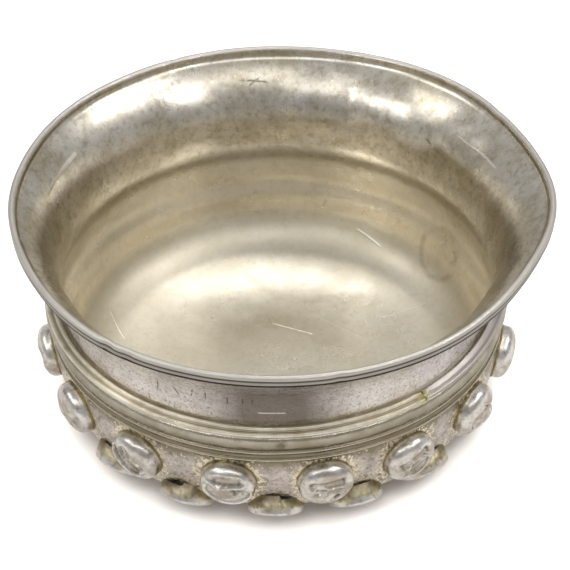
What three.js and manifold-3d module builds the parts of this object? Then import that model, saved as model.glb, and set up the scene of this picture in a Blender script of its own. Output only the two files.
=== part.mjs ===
// Hammered silver bowl with two staggered rows of hollow bosses soldered on its outside.
// Millimetres, +Z up. The origin is the centre of the flat underside that the bowl rests on.
// The front of the bowl, where an upper boss stands to each side of a lower one, faces -Y.
import * as THREE from 'three';
import { mergeVertices } from 'three/addons/utils/BufferGeometryUtils.js';
import Module from 'manifold-3d';

// Whole bowl
const bowlHeight = 70;
const wall = 1.3;
const seam = 0.3;
const bowlSegments = 60;

// Lip: a thick rounded edge, turned outwards
const lipRadius = 80;
const lipDepth = 3.8;
const lipRounding = 1;
const lipUndercut = 1.3;
const lipBevel = 0.5;

// Neck: a hollow curve from under the lip down to its narrowest ring
const neckRadius = 66;
const neckDepth = 27;

// Shoulder: a sloping ledge, inner and outer ring, as depths below the lip
const ledgeInnerRadius = 66.3;
const ledgeInnerDepth = 30.4;
const ledgeOuterRadius = 69.3;
const ledgeOuterDepth = 32.2;
const shoulderRounding = 1.1;

// Convex band below the shoulder, and the two fine raised threads that close it
const bandRadius = 70;
const bandDepth = 34.6;
const threadRadius = 68.5;
const firstThreadDepth = 38.3;
const secondThreadDepth = 41.1;
const threadWidth = 1.1;
const threadHeight = 0.45;

// Underside and the turn up into the wall, as radii of curvature. The angles say how far the
// outward normal dips below level, in degrees.
const baseRadius = 30;
const undersideCurve = 100;
const turnCurve = 8;
const haunchCurve = 260;
const turnStartAngle = 72;
const turnEndAngle = 12;
const haunchEndAngle = 10;

// Moulding hoop on the ledge: a flat strip with two ridges, its ends meeting at the right
const stripThickness = 0.5;
const stripInset = 0.1;
const ridgeWidth = 1.4;
const ridgeFlat = 0.8;
const ridgeHeight = 0.6;
const stripJointAngle = 37;
const stripJointGap = 0.5;

// Bosses: thin hollow domes on a short skirt. A roundness of 2 would be half an ellipse. Where
// the wall falls away further than the skirt reaches, the edge of the boss stands free.
const bossesPerRow = 16;
const bossRadius = 8.1;
const upperBossHeight = 5.2;
const lowerBossHeight = 3;
const bossSkirt = 1.2;
const skirtReach = 1.7;
const bossSheet = 0.6;
const domeRoundness = 2.3;
const bossSegments = 12;
const upperRowHeight = 19.3;
const lowerRowHeight = 5.8;

// How far each boss strays from its even place, in degrees, counted round from the front
const upperStray = [-0.2, -0.8, 0, 0.4, 0.2, -0.2, 0, -0.4, -0.8, -1.4, -2.2, -3.2, -4.2, -3.6, -2.8, -1];
const lowerStray = [-1, -2.2, -3.2, -2.6, -2, -1.5, -1, -1, -1, -1, -1.5, -2, -2.2, -2.5, -2.7, -2.6];

// The dents: a fold pressed across each boss, by its angle in degrees and its depth
const foldWidth = 2.6;
const upperFoldAngles = [0, 35, 20, 70, -40, 10, 55, -15, 30, -60, 5, 80, -30, -10, -35, 8];
const upperFoldDepth = 1.1;
const lowerFoldAngle = 47;
const lowerFoldDepth = 0.7;

const radians = THREE.MathUtils.degToRad;

const silver = { color: 0xb4aea2, roughness: 0.34, metalness: 1 };
const brightSilver = { color: 0xcfcac0, roughness: 0.24, metalness: 1 };
const gildedSilver = { color: 0xb9b09a, roughness: 0.36, metalness: 1 };

// Points of the profile are { r, z, slope }: slope is how far the outward normal dips below level.
function onArc(centre, radius, slope) {
  const angle = radians(slope);
  return { r: centre.r + radius * Math.cos(angle), z: centre.z - radius * Math.sin(angle), slope };
}

function convexArc(start, curve, endSlope, steps) {
  const from = radians(start.slope);
  const centre = { r: start.r - curve * Math.cos(from), z: start.z + curve * Math.sin(from) };
  const points = [];
  for (let i = 1; i <= steps; i++) {
    points.push(onArc(centre, curve, THREE.MathUtils.lerp(start.slope, endSlope, i / steps)));
  }
  return points;
}

// The hollow curve of the neck is one arc, level with its centre at the narrowest ring.
function neckArc(fromRadius, fromZ, steps) {
  const narrowZ = bowlHeight - neckDepth;
  const out = fromRadius - neckRadius;
  const up = fromZ - narrowZ;
  const curve = (out * out + up * up) / (2 * out);
  const sweep = Math.asin(up / curve);
  const points = [];
  for (let i = 0; i <= steps; i++) {
    const angle = sweep * (i / steps);
    const r = neckRadius + curve * (1 - Math.cos(angle));
    points.push({ r, z: narrowZ + curve * Math.sin(angle), slope: THREE.MathUtils.radToDeg(angle) });
  }
  return points;
}

// Underside, turn and haunch, from the edge of the flat base up to the foot of the belly, each
// arc in the given number of steps.
function lowerWall(undersideSteps, turnSteps, haunchSteps) {
  const baseEdge = { r: baseRadius, z: 0, slope: 90 };
  const underside = convexArc(baseEdge, undersideCurve, turnStartAngle, undersideSteps);
  const turn = convexArc(underside.at(-1), turnCurve, turnEndAngle, turnSteps);
  const haunch = convexArc(turn.at(-1), haunchCurve, haunchEndAngle, haunchSteps);
  return [baseEdge, ...underside, ...turn, ...haunch];
}

// The belly runs smoothly from the haunch to a plumb wall under the second thread.
function bellyCurve(foot, steps) {
  const top = { r: threadRadius, z: bowlHeight - secondThreadDepth - threadWidth };
  const reach = (top.z - foot.z) / 3;
  const lean = Math.tan(radians(foot.slope));
  const curve = new THREE.CubicBezierCurve(
    new THREE.Vector2(foot.r, foot.z),
    new THREE.Vector2(foot.r + reach * lean, foot.z + reach),
    new THREE.Vector2(top.r, top.z - reach),
    new THREE.Vector2(top.r, top.z),
  );
  const points = [];
  for (let i = 1; i <= steps; i++) {
    const { x, y } = curve.getPoint(i / steps);
    const tangent = curve.getTangent(i / steps);
    const slope = THREE.MathUtils.radToDeg(Math.atan2(tangent.x, tangent.y));
    points.push({ r: x, z: y, slope });
  }
  return points;
}

function thread(depth) {
  const z = bowlHeight - depth;
  return [
    { r: threadRadius, z: z - threadWidth / 2 },
    { r: threadRadius + threadHeight, z },
    { r: threadRadius, z: z + threadWidth / 2 },
  ];
}

// The convex band swells out over the threads, up to the corner of the shoulder and its ledge.
function bandAndLedge() {
  const bandZ = bowlHeight - bandDepth;
  const threadTop = bowlHeight - firstThreadDepth + threadWidth / 2;
  const swell = [1, 2, 3].map((step) => {
    const share = step / 3;
    return {
      r: THREE.MathUtils.lerp(threadRadius, bandRadius, Math.sin(share * Math.PI / 2)),
      z: THREE.MathUtils.lerp(threadTop, bandZ, share),
    };
  });
  return [
    ...swell,
    { r: bandRadius, z: bandZ + (bandDepth - ledgeOuterDepth) / 2 },
    { r: ledgeOuterRadius, z: bowlHeight - ledgeOuterDepth },
    { r: ledgeInnerRadius, z: bowlHeight - ledgeInnerDepth },
    { r: neckRadius, z: bowlHeight - ledgeInnerDepth + shoulderRounding },
  ];
}

// The lip's thick edge: bevelled below, upright outside, and rounded over the top.
function lipEdge() {
  const underside = bowlHeight - lipDepth;
  const centre = { r: lipRadius - lipRounding, z: bowlHeight - lipRounding };
  const rounding = [0, -45, -90, -135].map((slope) => onArc(centre, lipRounding, slope));
  return [
    { r: lipRadius - lipBevel, z: underside },
    { r: lipRadius, z: underside + lipBevel * 2 },
    ...rounding,
  ];
}

const neckTopRadius = lipRadius - lipBevel - lipUndercut;
const neckTopZ = bowlHeight - lipDepth;
const ledgeRun = ledgeOuterRadius - ledgeInnerRadius;
const ledgeDrop = ledgeOuterDepth - ledgeInnerDepth;
const ledgeSlope = -THREE.MathUtils.radToDeg(Math.atan2(ledgeRun, ledgeDrop));
const lower = lowerWall(4, 5, 2);
const belly = bellyCurve(lower.at(-1), 3);
const neck = neckArc(neckTopRadius, neckTopZ, 7);

// A point of the outer skin moved inwards by the wall's thickness.
function inside({ r, z, slope }) {
  const angle = radians(slope);
  return { r: r - wall * Math.cos(angle), z: z + wall * Math.sin(angle) };
}

// The inside follows the wall but leaves out the mouldings, which were chased from outside.
function innerWall() {
  const neckInside = neckArc(neckTopRadius, neckTopZ, 5).reverse().map(inside);
  const lowerInside = lowerWall(3, 3, 1);
  const bellyInside = bellyCurve(lowerInside.at(-1), 1).slice(0, -1);
  const shoulder = [
    { r: ledgeInnerRadius, z: bowlHeight - ledgeInnerDepth, slope: ledgeSlope },
    { r: ledgeOuterRadius, z: bowlHeight - ledgeOuterDepth, slope: ledgeSlope },
    { r: bandRadius, z: bowlHeight - bandDepth, slope: 0 },
    { r: threadRadius, z: bowlHeight - secondThreadDepth, slope: 0 },
  ];
  const below = [...lowerInside, ...bellyInside].reverse();
  return [...neckInside, ...shoulder.map(inside), ...below.map(inside), { r: 0, z: wall }];
}

const outerWall = [
  ...lower,
  ...belly,
  ...thread(secondThreadDepth),
  ...thread(firstThreadDepth),
  ...bandAndLedge(),
  ...neck,
];

function named(name, geometry, finish) {
  const mesh = new THREE.Mesh(geometry, new THREE.MeshStandardMaterial(finish));
  mesh.name = name;
  return mesh;
}

function revolved(points) {
  const profile = points.map(({ r, z }) => new THREE.Vector2(r, z));
  return new THREE.LatheGeometry(profile, bowlSegments).rotateX(Math.PI / 2);
}

function bowlBody() {
  const profile = [{ r: 0, z: 0 }, ...outerWall, ...lipEdge(), ...innerWall()];
  return named('bowl_body', revolved(profile), silver);
}

// A flat-topped ridge across the strip, at a distance along it from its inner edge.
function ridge(middle) {
  const half = ridgeWidth / 2;
  const top = stripThickness + ridgeHeight;
  return [
    [middle + half, stripThickness],
    [middle + ridgeFlat / 2, top],
    [middle - ridgeFlat / 2, top],
    [middle - half, stripThickness],
  ];
}

const wasm = await Module();
wasm.setup();

function solid(geometry) {
  const bare = new THREE.BufferGeometry();
  const source = geometry.index ? geometry.toNonIndexed() : geometry;
  bare.setAttribute('position', source.getAttribute('position'));
  const merged = mergeVertices(bare);
  return new wasm.Manifold(new wasm.Mesh({
    numProp: 3,
    vertProperties: merged.attributes.position.array,
    triVerts: new Uint32Array(merged.index.array),
  }));
}

function geometryOf(shape) {
  const { vertProperties, triVerts } = shape.getMesh();
  const geometry = new THREE.BufferGeometry();
  geometry.setAttribute('position', new THREE.BufferAttribute(vertProperties, 3));
  geometry.setIndex(new THREE.BufferAttribute(triVerts, 1));
  return geometry;
}

// The hoop lies on the ledge, a solder seam away, and is cut through where its ends meet.
function shoulderMoulding() {
  const width = Math.hypot(ledgeRun, ledgeDrop);
  const along = { r: ledgeRun / width, z: -ledgeDrop / width };
  const out = { r: ledgeDrop / width, z: ledgeRun / width };
  const start = { r: ledgeInnerRadius, z: bowlHeight - ledgeInnerDepth };
  const place = ([distance, height]) => ({
    r: start.r + along.r * distance + out.r * (seam + height),
    z: start.z + along.z * distance + out.z * (seam + height),
  });
  const inner = stripInset + ridgeWidth / 2;
  const outer = width - stripInset - ridgeWidth / 2;
  const section = [
    [width - stripInset, 0],
    ...ridge(outer),
    ...ridge(inner),
    [stripInset, 0],
  ];
  const hoop = revolved([...section, section[0]].map(place));
  const cut = new THREE.BoxGeometry(ledgeOuterRadius, stripJointGap, bowlHeight);
  cut.translate(lipRadius - ledgeOuterRadius / 2, 0, bowlHeight / 2);
  cut.rotateZ(radians(stripJointAngle - 90));
  return named('shoulder_moulding', geometryOf(solid(hoop).subtract(solid(cut))), silver);
}

// How far a point lies from the outer skin of the bowl, in the plane of the profile.
function gapToWall(r, z) {
  let least = Infinity;
  for (let i = 1; i < outerWall.length; i++) {
    const a = outerWall[i - 1];
    const b = outerWall[i];
    const dr = b.r - a.r;
    const dz = b.z - a.z;
    const length = dr * dr + dz * dz;
    const t = THREE.MathUtils.clamp(((r - a.r) * dr + (z - a.z) * dz) / length, 0, 1);
    const offR = r - a.r - t * dr;
    const offZ = z - a.z - t * dz;
    const side = offR * dz - offZ * dr < 0 ? -1 : 1;
    const distance = Math.hypot(offR, offZ);
    if (distance < Math.abs(least)) least = side * distance;
  }
  return least;
}

// The place on the wall at a height, with the slope of the wall there.
function wallAt(height) {
  const wallPoints = [...lower, ...belly];
  const i = Math.max(1, wallPoints.findIndex((point) => point.z >= height));
  const a = wallPoints[i - 1];
  const b = wallPoints[i];
  const t = (height - a.z) / (b.z - a.z);
  const mix = (key) => THREE.MathUtils.lerp(a[key], b[key], t);
  return { r: mix('r'), z: height, slope: mix('slope') };
}

// The rings of a dome from its skirt to its crown, as shares of its radius.
const domeRings = [1, 0.92, 0.72, 0.4];
const hollowRings = [1, 0.72];

function domeRise(share) {
  return (1 - share ** domeRoundness) ** (1 / domeRoundness);
}

// A boss stands on the wall: its skirt is cut to the wall's curve, and a fold dents its face.
function bossGeometry(seat, bossHeight, foldDegrees, foldDepth) {
  const slope = radians(seat.slope);
  const out = new THREE.Vector3(0, -Math.cos(slope), -Math.sin(slope));
  const up = new THREE.Vector3(0, -Math.sin(slope), Math.cos(slope));
  const side = new THREE.Vector3(1, 0, 0);
  const centre = new THREE.Vector3(0, -seat.r, seat.z);
  const foldAngle = radians(foldDegrees);

  const at = (radius, angle, height) => centre.clone()
    .addScaledVector(side, radius * Math.cos(angle))
    .addScaledVector(up, radius * Math.sin(angle))
    .addScaledVector(out, height);

  // How high the wall stands there above the middle of the seat, a solder seam included.
  const wallRise = (radius, angle) => {
    let low = -bossRadius;
    let high = bossRadius;
    for (let i = 0; i < 40; i++) {
      const middle = (low + high) / 2;
      const point = at(radius, angle, middle);
      if (gapToWall(Math.hypot(point.x, point.y), point.z) < seam) low = middle;
      else high = middle;
    }
    return high;
  };

  // Where the wall rises round its seat, the boss stands out further, and its skirt clears it.
  const turns = Array.from({ length: bossSegments }, (_, i) => (i / bossSegments) * Math.PI * 2);
  const lift = Math.max(0, ...turns.map((angle) => wallRise(bossRadius, angle)));

  const dent = (radius, angle) => {
    const across = radius * Math.sin(angle - foldAngle);
    const towardsRim = 1 - (radius / bossRadius) ** 4;
    return foldDepth * Math.exp(-((across / foldWidth) ** 2)) * towardsRim;
  };

  const shell = (radius, crown, shares) => {
    const rings = shares.map((share) => (angle) => {
      const height = lift + THREE.MathUtils.lerp(bossSkirt, crown, domeRise(share));
      return at(radius * share, angle, height - dent(radius * share, angle));
    });
    const foot = (angle) => at(radius, angle, Math.max(wallRise(radius, angle), -skirtReach));
    return [foot, ...rings];
  };
  const outerRings = shell(bossRadius, bossHeight, domeRings);
  const innerRings = shell(bossRadius - bossSheet, bossHeight - bossSheet, hollowRings);
  const rings = [...innerRings.reverse(), ...outerRings];

  const vertices = [];
  for (const ring of rings) {
    for (const angle of turns) {
      const { x, y, z } = ring(angle);
      vertices.push(x, y, z);
    }
  }
  const innerCrown = vertices.length / 3;
  const outerCrown = innerCrown + 1;
  const innerTop = at(0, 0, lift + bossHeight - bossSheet - foldDepth);
  const outerTop = at(0, 0, lift + bossHeight - foldDepth);
  vertices.push(innerTop.x, innerTop.y, innerTop.z, outerTop.x, outerTop.y, outerTop.z);

  const faces = [];
  const last = (rings.length - 1) * bossSegments;
  for (let i = 0; i < bossSegments; i++) {
    const next = (i + 1) % bossSegments;
    faces.push(innerCrown, next, i);
    faces.push(outerCrown, last + i, last + next);
    for (let ring = 0; ring < last; ring += bossSegments) {
      faces.push(ring + i, ring + next, ring + bossSegments + next);
      faces.push(ring + i, ring + bossSegments + next, ring + bossSegments + i);
    }
  }
  const geometry = new THREE.BufferGeometry();
  geometry.setAttribute('position', new THREE.Float32BufferAttribute(vertices, 3));
  geometry.setIndex(faces);
  return geometry;
}

function rowOfBosses(rowName, rowHeight, { height, firstAngle, strays, foldAngleOf, foldDepth, finish }) {
  const seat = wallAt(rowHeight);
  const row = new THREE.Group();
  for (let i = 0; i < bossesPerRow; i++) {
    const number = String(i + 1).padStart(2, '0');
    const geometry = bossGeometry(seat, height, foldAngleOf(i), foldDepth);
    const boss = named(`${rowName}_boss_${number}`, geometry, finish);
    const stray = strays[i % strays.length];
    boss.rotation.z = radians(firstAngle + (360 / bossesPerRow) * i + stray);
    row.add(boss);
  }
  return row;
}

const bowl = new THREE.Group();
bowl.add(bowlBody(), shoulderMoulding());
bowl.add(rowOfBosses('upper', upperRowHeight, {
  height: upperBossHeight,
  firstAngle: 180 / bossesPerRow,
  strays: upperStray,
  foldAngleOf: (i) => upperFoldAngles[i % upperFoldAngles.length],
  foldDepth: upperFoldDepth,
  finish: brightSilver,
}));
bowl.add(rowOfBosses('lower', lowerRowHeight, {
  height: lowerBossHeight,
  firstAngle: 0,
  strays: lowerStray,
  foldAngleOf: (i) => lowerFoldAngle * i,
  foldDepth: lowerFoldDepth,
  finish: gildedSilver,
}));

export default bowl;
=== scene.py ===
import math
import random

import bpy
from mathutils import Matrix, Vector


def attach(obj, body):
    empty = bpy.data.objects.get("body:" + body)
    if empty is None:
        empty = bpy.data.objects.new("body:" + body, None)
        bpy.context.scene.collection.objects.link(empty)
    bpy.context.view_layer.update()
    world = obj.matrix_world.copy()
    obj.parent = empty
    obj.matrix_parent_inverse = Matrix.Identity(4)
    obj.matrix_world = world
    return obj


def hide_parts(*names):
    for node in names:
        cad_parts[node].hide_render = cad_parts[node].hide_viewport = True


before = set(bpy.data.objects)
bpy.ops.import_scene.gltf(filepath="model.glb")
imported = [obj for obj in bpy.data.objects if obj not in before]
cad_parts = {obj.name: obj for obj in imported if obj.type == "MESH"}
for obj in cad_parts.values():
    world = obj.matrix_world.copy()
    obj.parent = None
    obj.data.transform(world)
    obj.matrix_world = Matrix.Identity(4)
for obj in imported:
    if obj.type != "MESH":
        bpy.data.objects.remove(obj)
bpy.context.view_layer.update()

MM = 0.001
SHARP_ANGLE = 60

# Body, with the same sizes as the frame. A depth is measured down from the top of the lip, and a
# turn starts and ends at slopes in degrees.
BOWL_HEIGHT = 70
WALL = 1.3
SPIN_STEPS = 300
BASE_RADIUS = 30
UNDERSIDE_CURVE = 100
TURN_CURVE = 8
HAUNCH_CURVE = 260
TURN_START = 72
TURN_END = 12
HAUNCH_END = 10
THREAD_RADIUS = 68.5
THREAD_DEPTHS = (41.1, 38.3)
THREAD_WIDTH = 1.3
THREAD_HEIGHT = 0.5
BAND_RADIUS = 70
BAND_DEPTH = 34.6
BAND_CORNER_RISE = 1.2
BAND_CORNER_BEND = (69.8, 37.4)
LEDGE_OUTER = (69.3, 37.8)
LEDGE_INNER = (66.3, 39.6)
SHOULDER_ROUNDING = 1.1
NECK_RADIUS = 66
NECK_DEPTH = 27
NECK_TOP = (78.2, 66.2)
LIP_RADIUS = 80
LIP_BEAD = 1.0
LIP_FACE = [(79.35, 66.15), (79.6, 66.3), (79.8, 66.75), (79.82, 67.3), (79.72, 67.85), (79.62, 68.15)]
LIP_INNER_LINE = [(77.98, 69.25), (77.85, 69.02), (77.82, 68.7), (77.7, 68.1)]

# Inside of the body
INNER_SHOULDER_BENDS = (37.5, 36.5)
INNER_BELLY_TOP = 28
INNER_SIDE_PULL = 3
INNER_TURN_START = 74
INNER_TURN_CURVE = 18
INNER_TURN_END = 9
FLOOR_RADIUS = 24
# Faces that look up within this radius belong to the inside
INSIDE_RADIUS = 62

# Hammer work and wear of the body. Hammer marks have a grain and a depth, a push of the lip its
# degrees, its length outwards and its reach, a dent of the neck its degrees, height and length
# outwards, and a knock its degrees and depth.
HAMMER_MARKS = ((22, 0.3), (7, 0.1))
LIP_LEAN = 1.6
LEAN_DEPTH = 27
LIP_PUSHES = (
    (-66, -1.3, 42), (62, -1.5, 42), (-150, 0.9, 50), (86, 1.2, 34), (138, 0.9, 34), (-124, 0.8, 30),
)
NECK_DENTS = ((169, 55, -0.9), (150, 59, -0.9), (124, 59, -1.0), (-158, 52, -0.5))
LIP_KNOCKS = ((-36, 0.5), (-31, 0.35), (12, 0.25), (47, 0.15), (121, 0.2), (203, 0.4))
BAND_GOUGE = (32, 0.4)

# Hoop on the shoulder
STRIP_THICKNESS = 0.8
STRIP_SUNK = 0.1
RIDGE_HEIGHT = 0.6
RIDGE_WIDTH = 1.4
STRIP_INSET = 0.1
HOOP_STEPS = 400
JOINT_ANGLE = 37
JOINT_GAP = 0.5
HOOP_HAMMER_MARKS = (18, 0.12)
# The worn stretch to the right of the joint, in degrees, and how much of each ridge is gone there
WORN_END = 80
WORN_FADES = (2, 12)
INNER_RIDGE_WEAR = 0.95
OUTER_RIDGE_WEAR = 0.45

# Bosses. A stray is how far a boss stands from its even place round the bowl, in degrees.
BOSSES_PER_ROW = 16
BOSS_RADIUS = 8.1
UPPER_BOSS_HEIGHT = 5.2
LOWER_BOSS_HEIGHT = 3.0
BOSS_SKIRT = 1.2
SKIRT_REACH = 1.7
BOSS_SHEET = 0.6
DOME_ROUNDNESS = 2.3
STEEP_SIDE = 50
BOSS_STEPS = 84
UPPER_ROW_HEIGHT = 19.3
LOWER_ROW_HEIGHT = 5.8
BELLY_LIMIT = 30
FAR_FROM_BOSSES = 40
UPPER_STRAY = [-0.2, -0.8, 0, 0.4, 0.2, -0.2, 0, -0.4, -0.8, -1.4, -2.2, -3.2, -4.2, -3.6, -2.8, -1]
LOWER_STRAY = [-1, -2.2, -3.2, -2.6, -2, -1.5, -1, -1, -1, -1, -1.5, -2, -2.2, -2.5, -2.7, -2.6]


# Outline of the body, as points of radius, height and slope. Slope is how far the outward
# normal dips below level, in degrees.
def arc(start, curve, end_slope, steps):
    r, z, slope = start
    centre_r = r - curve * math.cos(math.radians(slope))
    centre_z = z + curve * math.sin(math.radians(slope))
    points = []
    for i in range(1, steps + 1):
        now = slope + (end_slope - slope) * i / steps
        angle = math.radians(now)
        points.append((centre_r + curve * math.cos(angle), centre_z - curve * math.sin(angle), now))
    return points


def bezier(a, b, c, d, steps):
    points = []
    for i in range(1, steps + 1):
        t = i / steps
        s = 1 - t
        weights = (s * s * s, 3 * s * s * t, 3 * s * t * t, t * t * t)
        r = sum(w * p[0] for w, p in zip(weights, (a, b, c, d)))
        z = sum(w * p[1] for w, p in zip(weights, (a, b, c, d)))
        points.append((r, z))
    return points


def lower_wall():
    base_edge = (BASE_RADIUS, 0, 90)
    underside = arc(base_edge, UNDERSIDE_CURVE, TURN_START, 14)
    turn = arc(underside[-1], TURN_CURVE, TURN_END, 14)
    haunch = arc(turn[-1], HAUNCH_CURVE, HAUNCH_END, 8)
    return [base_edge] + underside + turn + haunch


def belly_wall(foot):
    r, z, slope = foot
    top_z = BOWL_HEIGHT - THREAD_DEPTHS[0] - THREAD_WIDTH
    reach = (top_z - z) / 3
    lean = math.tan(math.radians(slope))
    start = (r, z)
    bend = (r + reach * lean, z + reach)
    plumb = (THREAD_RADIUS, top_z - reach)
    points = bezier(start, bend, plumb, (THREAD_RADIUS, top_z), 8)
    return [(pr, pz, slope * (1 - (i + 1) / 8)) for i, (pr, pz) in enumerate(points)]


def thread(depth):
    points = []
    for i in range(9):
        share = i / 8
        z = BOWL_HEIGHT - depth + THREAD_WIDTH * (share - 0.5)
        points.append((THREAD_RADIUS + THREAD_HEIGHT * math.sin(math.pi * share), z))
    return points


def band():
    start_z = BOWL_HEIGHT - THREAD_DEPTHS[1] + THREAD_WIDTH / 2
    end_z = BOWL_HEIGHT - BAND_DEPTH
    points = []
    for i in range(1, 9):
        share = i / 8
        swell = math.sin(share * math.pi / 2)
        r = THREAD_RADIUS + (BAND_RADIUS - THREAD_RADIUS) * swell
        points.append((r, start_z + (end_z - start_z) * share))
    rise = (BAND_RADIUS, end_z + BAND_CORNER_RISE)
    return points + bezier((BAND_RADIUS, end_z), rise, BAND_CORNER_BEND, LEDGE_OUTER, 5)


def neck_arc(steps, inwards=0):
    narrow_z = BOWL_HEIGHT - NECK_DEPTH
    out = NECK_TOP[0] - NECK_RADIUS
    rise = NECK_TOP[1] - narrow_z
    curve = (out * out + rise * rise) / (2 * out)
    sweep = math.asin(rise / curve)
    points = []
    for i in range(steps + 1):
        angle = sweep * i / steps
        r = NECK_RADIUS + curve * (1 - math.cos(angle)) - inwards * math.cos(angle)
        z = narrow_z + curve * math.sin(angle) + inwards * math.sin(angle)
        points.append((r, z))
    return points


# The lip: a shelf below, an arris, a face with a shallow groove, a bead, and a fine line inside it.
def lip():
    bead_r = LIP_RADIUS - LIP_BEAD
    bead_z = BOWL_HEIGHT - LIP_BEAD
    bead = []
    for slope in range(35, -151, -15):
        angle = math.radians(slope)
        bead.append((bead_r + LIP_BEAD * math.cos(angle), bead_z - LIP_BEAD * math.sin(angle)))
    return LIP_FACE + bead + LIP_INNER_LINE


# Inside, the neck runs softly into the belly, and the wall turns to the floor in a wider curve
# than outside, because the metal is left thick at the turn.
def inner_wall():
    neck = list(reversed(neck_arc(22, inwards=WALL)))
    narrow = neck[-1]
    belly_r = THREAD_RADIUS - WALL
    belly_top = (belly_r, INNER_BELLY_TOP)
    upper_bend = (narrow[0], INNER_SHOULDER_BENDS[0])
    lower_bend = (belly_r + 0.1, INNER_SHOULDER_BENDS[1])
    shoulder = bezier(narrow, upper_bend, lower_bend, belly_top, 14)
    dish = arc((FLOOR_RADIUS, WALL, 90), UNDERSIDE_CURVE, INNER_TURN_START, 16)
    turn = arc(dish[-1], INNER_TURN_CURVE, INNER_TURN_END, 20)
    side_r, side_z, slope = turn[-1]
    leaning = (side_r + math.tan(math.radians(slope)) * INNER_SIDE_PULL, side_z + INNER_SIDE_PULL)
    plumb = (belly_r, INNER_BELLY_TOP - INNER_SIDE_PULL)
    side = bezier((side_r, side_z), leaning, plumb, belly_top, 5)
    below = [point[:2] for point in reversed(dish + turn)]
    floor = [(FLOOR_RADIUS * share, WALL) for share in (1, 0.8, 0.6, 0.4, 0.2, 0)]
    return neck + shoulder + list(reversed(side))[1:] + below + floor


def body_outline():
    lower = lower_wall()
    outline = [(0, 0), (BASE_RADIUS * 0.4, 0), (BASE_RADIUS * 0.8, 0)]
    outline += [point[:2] for point in lower + belly_wall(lower[-1])]
    for depth in THREAD_DEPTHS:
        outline += thread(depth)
    outline += band()
    outline += [LEDGE_INNER, (NECK_RADIUS, LEDGE_INNER[1] + SHOULDER_ROUNDING)]
    return outline + neck_arc(26) + lip() + inner_wall()


# Modelling helpers
def deselect_all():
    bpy.ops.object.select_all(action="DESELECT")


def pick(piece):
    deselect_all()
    piece.select_set(True)
    bpy.context.view_layer.objects.active = piece


def trace(name, points, closed=False):
    """Starts a piece with an outline in the XZ plane, drawn by extruding one vertex."""
    deselect_all()
    bpy.ops.mesh.primitive_plane_add(size=MM)
    piece = bpy.context.object
    piece.name = name
    piece.data.name = name
    bpy.ops.object.mode_set(mode="EDIT")
    bpy.ops.mesh.select_mode(type="VERT")
    bpy.ops.mesh.select_all(action="SELECT")
    bpy.ops.mesh.merge(type="CENTER")
    bpy.ops.transform.translate(value=(points[0][0] * MM, 0, points[0][1] * MM))
    for before, after in zip(points, points[1:]):
        step = ((after[0] - before[0]) * MM, 0, (after[1] - before[1]) * MM)
        bpy.ops.mesh.extrude_region_move(TRANSFORM_OT_translate={"value": step})
    if closed:
        first_to_last = ((points[0][0] - points[-1][0]) * MM, 0, (points[0][1] - points[-1][1]) * MM)
        bpy.ops.mesh.extrude_region_move(TRANSFORM_OT_translate={"value": first_to_last})
        bpy.ops.mesh.select_all(action="SELECT")
        bpy.ops.mesh.remove_doubles(threshold=0.01 * MM)
    return piece


def spin(steps, angle=360):
    """Turns the traced outline round the Z axis and joins the points where it meets itself."""
    bpy.ops.mesh.select_all(action="SELECT")
    bpy.ops.mesh.spin(steps=steps, angle=math.radians(angle), center=(0, 0, 0), axis=(0, 0, 1))
    bpy.ops.mesh.select_all(action="SELECT")
    bpy.ops.mesh.remove_doubles(threshold=0.005 * MM)


def outwards_and_smooth(piece):
    bpy.ops.object.mode_set(mode="EDIT")
    bpy.ops.mesh.select_all(action="SELECT")
    bpy.ops.mesh.normals_make_consistent(inside=False)
    bpy.ops.object.mode_set(mode="OBJECT")
    pick(piece)
    bpy.ops.object.shade_smooth_by_angle(angle=math.radians(SHARP_ANGLE))


def select_points(piece, wanted):
    """Selects the vertices for which wanted(place in millimetres) is true, and opens edit mode."""
    pick(piece)
    bpy.ops.object.mode_set(mode="EDIT")
    bpy.ops.mesh.select_mode(type="VERT")
    bpy.ops.mesh.select_all(action="DESELECT")
    bpy.ops.object.mode_set(mode="OBJECT")
    chosen = False
    for vertex in piece.data.vertices:
        vertex.select = wanted(vertex.co / MM)
        chosen = chosen or vertex.select
    bpy.ops.object.mode_set(mode="EDIT")
    return chosen


def press(piece, wanted, move, reach, falloff="SMOOTH"):
    """Moves the chosen vertices by so many millimetres and draws the metal round them along."""
    if select_points(piece, wanted):
        bpy.ops.transform.translate(
            value=[length * MM for length in move],
            use_proportional_edit=True,
            proportional_edit_falloff=falloff,
            proportional_size=reach * MM,
        )
    bpy.ops.object.mode_set(mode="OBJECT")


def near(place, distance):
    return lambda point: (point - Vector(place)).length < distance


def near_line(start, end, distance):
    start, end = Vector(start), Vector(end)
    along = end - start

    def wanted(point):
        share = max(0, min(1, (point - start).dot(along) / along.length_squared))
        return (point - start - along * share).length < distance

    return wanted


def apply_modifier(piece, kind, **settings):
    pick(piece)
    modifier = piece.modifiers.new(kind.title(), kind)
    for key, value in settings.items():
        setattr(modifier, key, value)
    bpy.ops.object.modifier_apply(modifier=modifier.name)


def hammer(piece, grain, depth):
    """Leaves the faint unevenness of hammer work, of a grain and a depth in millimetres."""
    marks = bpy.data.textures.new("hammer marks", "CLOUDS")
    marks.noise_scale = grain * MM
    marks.noise_depth = 1
    apply_modifier(
        piece, "DISPLACE", texture=marks, texture_coords="LOCAL", strength=depth * MM, mid_level=0.5,
    )
    bpy.data.textures.remove(marks)


def around(degrees, radius, height):
    """A point at so many degrees to the right of the front."""
    angle = math.radians(degrees)
    return Vector((radius * math.sin(angle), -radius * math.cos(angle), height))


def outward(degrees, length=1.0):
    return around(degrees, length, 0)


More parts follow.
